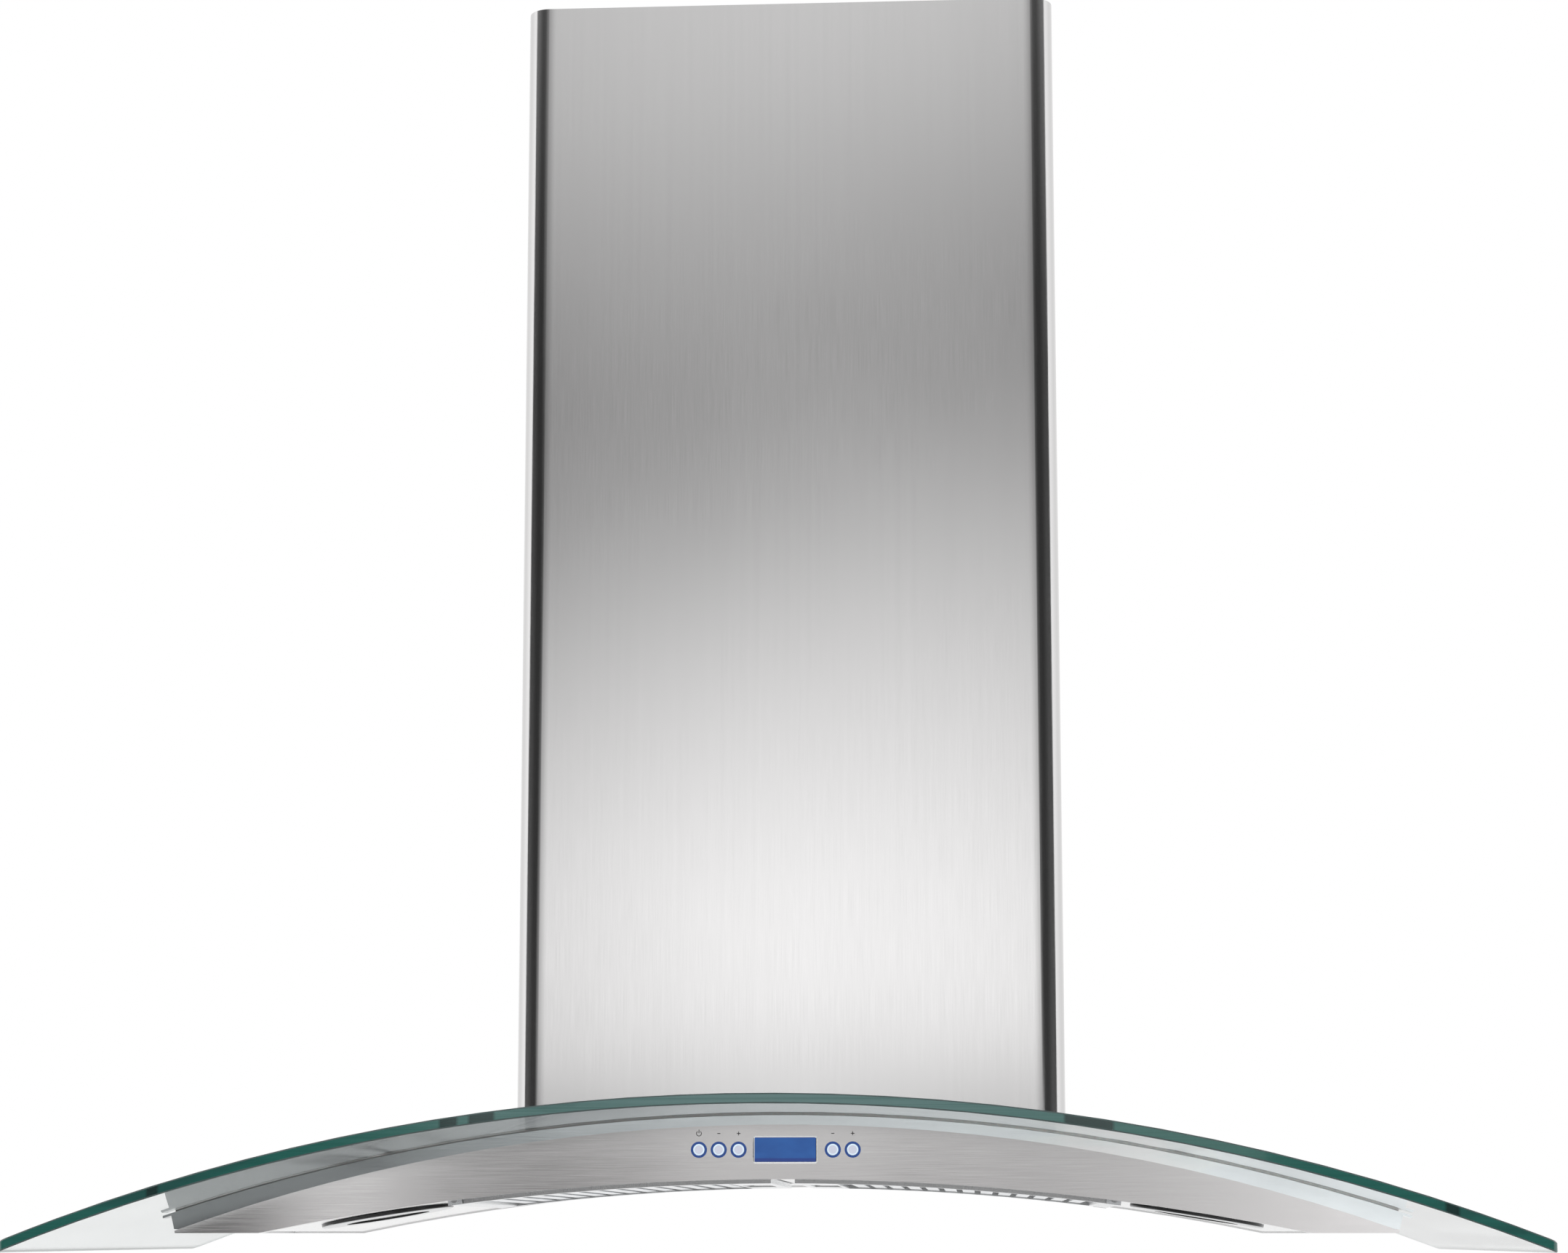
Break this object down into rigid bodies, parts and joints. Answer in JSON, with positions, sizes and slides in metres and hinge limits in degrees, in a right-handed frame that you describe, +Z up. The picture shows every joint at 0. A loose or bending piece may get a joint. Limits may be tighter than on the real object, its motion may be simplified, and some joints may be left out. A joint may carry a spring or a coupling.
{
  "type": "range hood",
  "caption": "Wall-hung range hood: arched glass canopy over a curved steel body with push buttons, baffle filters and a telescopic chimney cover.",
  "frame": {"origin": "middle of the four wall screw holes, on the wall plane", "axes": "+X to the right seen from the front, +Y towards the wall, +Z up"},
  "size_m": [0.9, 0.505, 0.8407],
  "materials": {
    "canopy_glass": "clear with a green polished edge",
    "seal_rubber": "matt black",
    "bush_nylon": "natural nylon",
    "cap_chrome": "polished",
    "screw_steel": "bright zinc",
    "rail_steel": "fine brushed along its length",
    "fascia_steel": "brushed along its length",
    "body_steel": "brushed",
    "panel_steel": "brushed",
    "filter_steel": "satin",
    "baffle_steel": "satin",
    "handle_chrome": "polished wire",
    "bracket_steel": "bright zinc",
    "magnet_ferrite": "dark ferrite",
    "bezel_steel": "turned satin",
    "lamp_glass": "frosted",
    "lamp_aluminium": "pressed",
    "led_board": "white board with yellow chips",
    "ring_blue": "translucent blue",
    "button_plastic": "pale satin",
    "display_blue": "lit blue window",
    "module_plastic": "dark",
    "board_green": "lacquered board",
    "cover_steel": "brushed upright",
    "galvanised": "galvanised with faint spangle",
    "wheel_steel": "galvanised",
    "motor_paint": "black enamel",
    "duct_plastic": "moulded black",
    "collar_plastic": "moulded black",
    "flap_aluminium": "mill finish",
    "junction_plastic": "moulded grey",
    "gland_plastic": "moulded grey",
    "driver_plastic": "moulded white",
    "capacitor_case": "drawn can"
  },
  "bodies": {
    "hood": {"hood_shell": "body_steel", "underside_panel": "panel_steel", "front_fascia": "fascia_steel", "glass_rail": "rail_steel", "glass_canopy": "canopy_glass", "glass_seal": "seal_rubber", "glass_bushes": "bush_nylon", "glass_screws": "cap_chrome", "glass_nuts": "screw_steel", "button_rings": "ring_blue", "display_window": "display_blue", "display_module": "module_plastic", "control_board": "board_green", "board_studs": "bush_nylon", "filter_hinge_brackets": "bracket_steel", "filter_stop_bar": "bracket_steel", "filter_magnets": "magnet_ferrite", "lamp_bezel_left": "bezel_steel", "lamp_bezel_right": "bezel_steel", "lamp_lens_left": "lamp_glass", "lamp_lens_right": "lamp_glass", "lamp_can_left": "lamp_aluminium", "lamp_can_right": "lamp_aluminium", "led_module_left": "led_board", "led_module_right": "led_board", "lower_chimney_cover": "cover_steel", "cover_supports": "galvanised", "blower_chassis": "galvanised", "scroll_wall": "galvanised", "scroll_plate_left": "galvanised", "scroll_plate_right": "galvanised", "motor_body": "motor_paint", "motor_bearings": "screw_steel", "motor_bracket": "galvanised", "outlet_duct": "duct_plastic", "duct_collar": "collar_plastic", "junction_box": "junction_plastic", "junction_cover": "junction_plastic", "cable_gland": "gland_plastic", "lamp_driver": "driver_plastic", "run_capacitor": "capacitor_case", "fixing_screws": "screw_steel"},
    "upper_cover": {"upper_chimney_cover": "cover_steel"},
    "left_filter": {"filter_frame_left": "filter_steel", "filter_baffles_left": "baffle_steel"},
    "right_filter": {"filter_frame_right": "filter_steel", "filter_baffles_right": "baffle_steel"},
    "left_handle": {"filter_handle_left": "handle_chrome"},
    "right_handle": {"filter_handle_right": "handle_chrome"},
    "wheel": {"blower_wheel": "wheel_steel", "motor_shaft": "screw_steel", "wheel_nut": "screw_steel"},
    "front_flap": {"damper_flap_front": "flap_aluminium"},
    "rear_flap": {"damper_flap_rear": "flap_aluminium"},
    "power_button": {"button_power": "button_plastic"},
    "light_down_button": {"button_light_down": "button_plastic"},
    "light_up_button": {"button_light_up": "button_plastic"},
    "fan_down_button": {"button_fan_down": "button_plastic"},
    "fan_up_button": {"button_fan_up": "button_plastic"}
  },
  "joints": [
    {"name": "upper_cover_slide", "type": "slide", "parent": "hood", "child": "upper_cover", "axis": [0, 0, 1], "range_m": [0, 0.4]},
    {"name": "power_press", "type": "slide", "parent": "hood", "child": "power_button", "axis": [0, 1, 0], "range_m": [0, 0.0012], "stiffness_N_per_m": 800},
    {"name": "light_down_press", "type": "slide", "parent": "hood", "child": "light_down_button", "axis": [0, 1, 0], "range_m": [0, 0.0012], "stiffness_N_per_m": 800},
    {"name": "light_up_press", "type": "slide", "parent": "hood", "child": "light_up_button", "axis": [0, 1, 0], "range_m": [0, 0.0012], "stiffness_N_per_m": 800},
    {"name": "fan_down_press", "type": "slide", "parent": "hood", "child": "fan_down_button", "axis": [0, 1, 0], "range_m": [0, 0.0012], "stiffness_N_per_m": 800},
    {"name": "fan_up_press", "type": "slide", "parent": "hood", "child": "fan_up_button", "axis": [0, 1, 0], "range_m": [0, 0.0012], "stiffness_N_per_m": 800},
    {"name": "left_filter_hinge", "type": "hinge", "parent": "hood", "child": "left_filter", "pos_m": [-0.2063, -0.207, -0.20937], "axis": [0, 1, 0], "range_deg": [0, 80]},
    {"name": "left_handle_fold", "type": "hinge", "parent": "left_filter", "child": "left_handle", "pos_m": [-0.0285, -0.207, -0.197], "axis": [0, 1, 0], "range_deg": [0, 90]},
    {"name": "right_filter_hinge", "type": "hinge", "parent": "hood", "child": "right_filter", "pos_m": [0.2063, -0.207, -0.20937], "axis": [0, -1, 0], "range_deg": [0, 80]},
    {"name": "right_handle_fold", "type": "hinge", "parent": "right_filter", "child": "right_handle", "pos_m": [0.0285, -0.207, -0.197], "axis": [0, -1, 0], "range_deg": [0, 90]},
    {"name": "wheel_spin", "type": "hinge", "parent": "hood", "child": "wheel", "pos_m": [0, -0.112, -0.03], "axis": [1, 0, 0], "continuous": true},
    {"name": "front_flap_hinge", "type": "hinge", "parent": "hood", "child": "front_flap", "pos_m": [0, -0.1445, 0.192], "axis": [-1, 0, 0], "range_deg": [0, 75]},
    {"name": "rear_flap_hinge", "type": "hinge", "parent": "hood", "child": "rear_flap", "pos_m": [0, -0.1355, 0.192], "axis": [1, 0, 0], "range_deg": [0, 75]}
  ]
}
